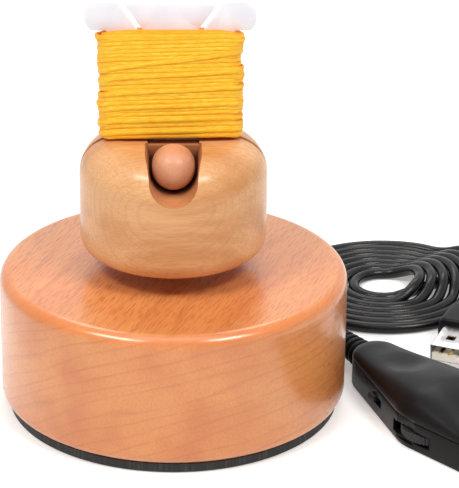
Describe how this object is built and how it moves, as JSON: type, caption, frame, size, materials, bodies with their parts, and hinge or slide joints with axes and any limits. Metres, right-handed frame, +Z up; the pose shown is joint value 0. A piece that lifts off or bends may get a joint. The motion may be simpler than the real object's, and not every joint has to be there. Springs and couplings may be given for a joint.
{
  "type": "embroidery floss bobbin winder",
  "caption": "Electric floss bobbin winder: round wooden base, turning domed wooden head that grips a card bobbin on edge, finger peg, and a USB lead with an in-line speed control.",
  "frame": {"origin": "centre of the foot pad, on the table under the axis of the head", "axes": "+Z up along the axis of the head; -Y towards the user, where the finger channel faces; +X to the right, towards the speed control"},
  "size_m": [0.1405, 0.1483, 0.0969],
  "materials": {
    "pad_rubber": "matte",
    "plywood": "matte",
    "zinc_steel": "satin",
    "base_beech": "gloss",
    "brass": "satin",
    "plate_steel": "satin",
    "shaft_steel": "gloss",
    "gear_plastic": "matte",
    "motor_steel": "satin",
    "magnet": "matte",
    "cord_rubber": "satin",
    "lead_plastic": "satin",
    "black_steel": "satin",
    "head_maple": "satin",
    "peg_wood": "satin",
    "card_plastic": "satin",
    "floss_cotton": "satin",
    "case_plastic": "satin",
    "circuit_board": "satin",
    "pot_plastic": "gloss",
    "wheel_plastic": "matte",
    "plug_steel": "gloss",
    "contact_gold": "gloss"
  },
  "bodies": {
    "base": {"foot_pad": "pad_rubber", "bottom_board": "plywood", "board_screws": "zinc_steel", "base_body": "base_beech", "top_bush": "brass", "gearbox_top_plate": "plate_steel", "gearbox_motor_plate": "plate_steel", "plate_posts": "brass", "plate_screws": "zinc_steel", "idler_axle": "shaft_steel", "motor_can": "motor_steel", "motor_magnets": "magnet", "motor_end_cap": "gear_plastic", "motor_terminals": "brass", "motor_screws": "zinc_steel", "cord_grommet": "cord_rubber", "cord_tie": "gear_plastic", "inner_cord": "cord_rubber", "inner_leads": "lead_plastic", "control_lower_shell": "case_plastic", "control_upper_shell": "case_plastic", "control_board": "circuit_board", "speed_pot": "pot_plastic", "switch_body": "motor_steel", "control_screws": "zinc_steel", "control_relief_in": "cord_rubber", "control_relief_out": "cord_rubber", "control_leads": "lead_plastic", "plug_grip": "case_plastic", "plug_shell": "plug_steel", "plug_tongue": "gear_plastic", "plug_contacts": "contact_gold", "cord_to_control": "cord_rubber", "cord_to_coil": "cord_rubber", "cord_coil": "cord_rubber"},
    "head": {"head_block": "head_maple", "hub_flange": "brass", "hub_screws": "zinc_steel", "grub_screw": "black_steel", "output_shaft": "shaft_steel", "output_gear": "gear_plastic"},
    "peg": {"clamp_peg": "peg_wood"},
    "bobbin": {"bobbin_card": "card_plastic", "floss_core": "floss_cotton", "floss_winding": "floss_cotton"},
    "idler": {"idler_gear": "gear_plastic"},
    "rotor": {"motor_shaft": "shaft_steel", "motor_armature": "motor_steel", "motor_pinion": "brass"},
    "thumb": {"speed_wheel": "wheel_plastic"},
    "switch": {"switch_knob": "wheel_plastic"}
  },
  "joints": [
    {"name": "head_spin", "type": "hinge", "parent": "base", "child": "head", "pos_m": [0, 0, 0.0345], "axis": [0, 0, 1], "continuous": true},
    {"name": "idler_spin", "type": "hinge", "parent": "base", "child": "idler", "pos_m": [0.0121, 0, 0.0208], "axis": [0, 0, 1], "continuous": true},
    {"name": "rotor_spin", "type": "hinge", "parent": "base", "child": "rotor", "pos_m": [0, 0, 0.0193], "axis": [0, 0, 1], "continuous": true},
    {"name": "peg_slide", "type": "slide", "parent": "head", "child": "peg", "axis": [0, -1, 0], "range_m": [0, 0.004]},
    {"name": "bobbin_lift", "type": "slide", "parent": "head", "child": "bobbin", "axis": [0, 0, 1], "range_m": [0, 0.0125]},
    {"name": "speed_turn", "type": "hinge", "parent": "base", "child": "thumb", "pos_m": [0.05882, -0.02359, 0.0035], "axis": [0, 0, 1], "range_deg": [0, 270]},
    {"name": "switch_slide", "type": "slide", "parent": "base", "child": "switch", "axis": [0.4706, -0.8824, 0], "range_m": [0, 0.003]}
  ],
  "couplings": [
    {"joint": "idler_spin", "follows": "head_spin", "ratio": -3},
    {"joint": "rotor_spin", "follows": "head_spin", "ratio": 9}
  ]
}
